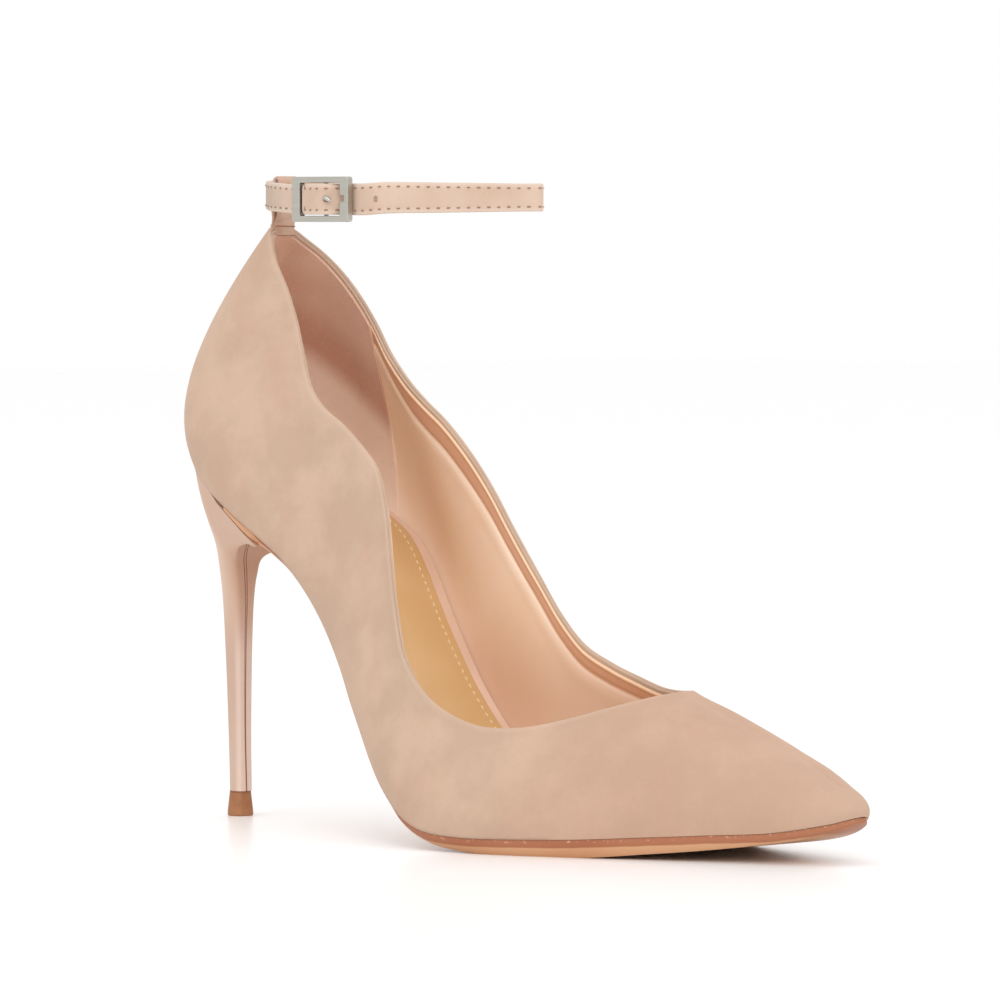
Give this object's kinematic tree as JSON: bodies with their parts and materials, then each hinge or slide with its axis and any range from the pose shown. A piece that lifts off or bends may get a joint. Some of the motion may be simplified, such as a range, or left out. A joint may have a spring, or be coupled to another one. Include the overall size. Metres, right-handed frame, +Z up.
{
  "type": "ankle strap pump",
  "caption": "Pointed-toe high-heeled pump in suede with a waved topline, a slim covered heel and a buckled ankle strap carried by a loop at the back of the collar",
  "frame": {"origin": "On the floor under the middle of the shoe's outer box", "axes": "X runs from the heel to the toe, +Y is the inner (medial) side of this right shoe, +Z is up"},
  "size_m": [0.2334, 0.0776, 0.1713],
  "materials": {
    "upper": "blush suede with a soft short nap",
    "outsole": "smooth peach sole leather with a darker edge line",
    "heel": "blush leather cover, satin",
    "top_piece": "brown wear-resistant heel tip, satin",
    "insole": "soft pinkish leather cover",
    "sock": "smooth ochre lining leather",
    "ankle_strap": "blush suede strap with brown stitches",
    "strap_tab": "blush suede loop",
    "buckle_frame": "satin silver-grey metal",
    "buckle_prong": "satin silver-grey metal"
  },
  "bodies": {
    "root": {"upper": "upper", "outsole": "outsole", "heel": "heel", "top_piece": "top_piece", "insole": "insole", "sock": "sock", "ankle_strap": "ankle_strap", "strap_tab": "strap_tab", "buckle_frame": "buckle_frame", "buckle_prong": "buckle_prong"}
  },
  "joints": []
}
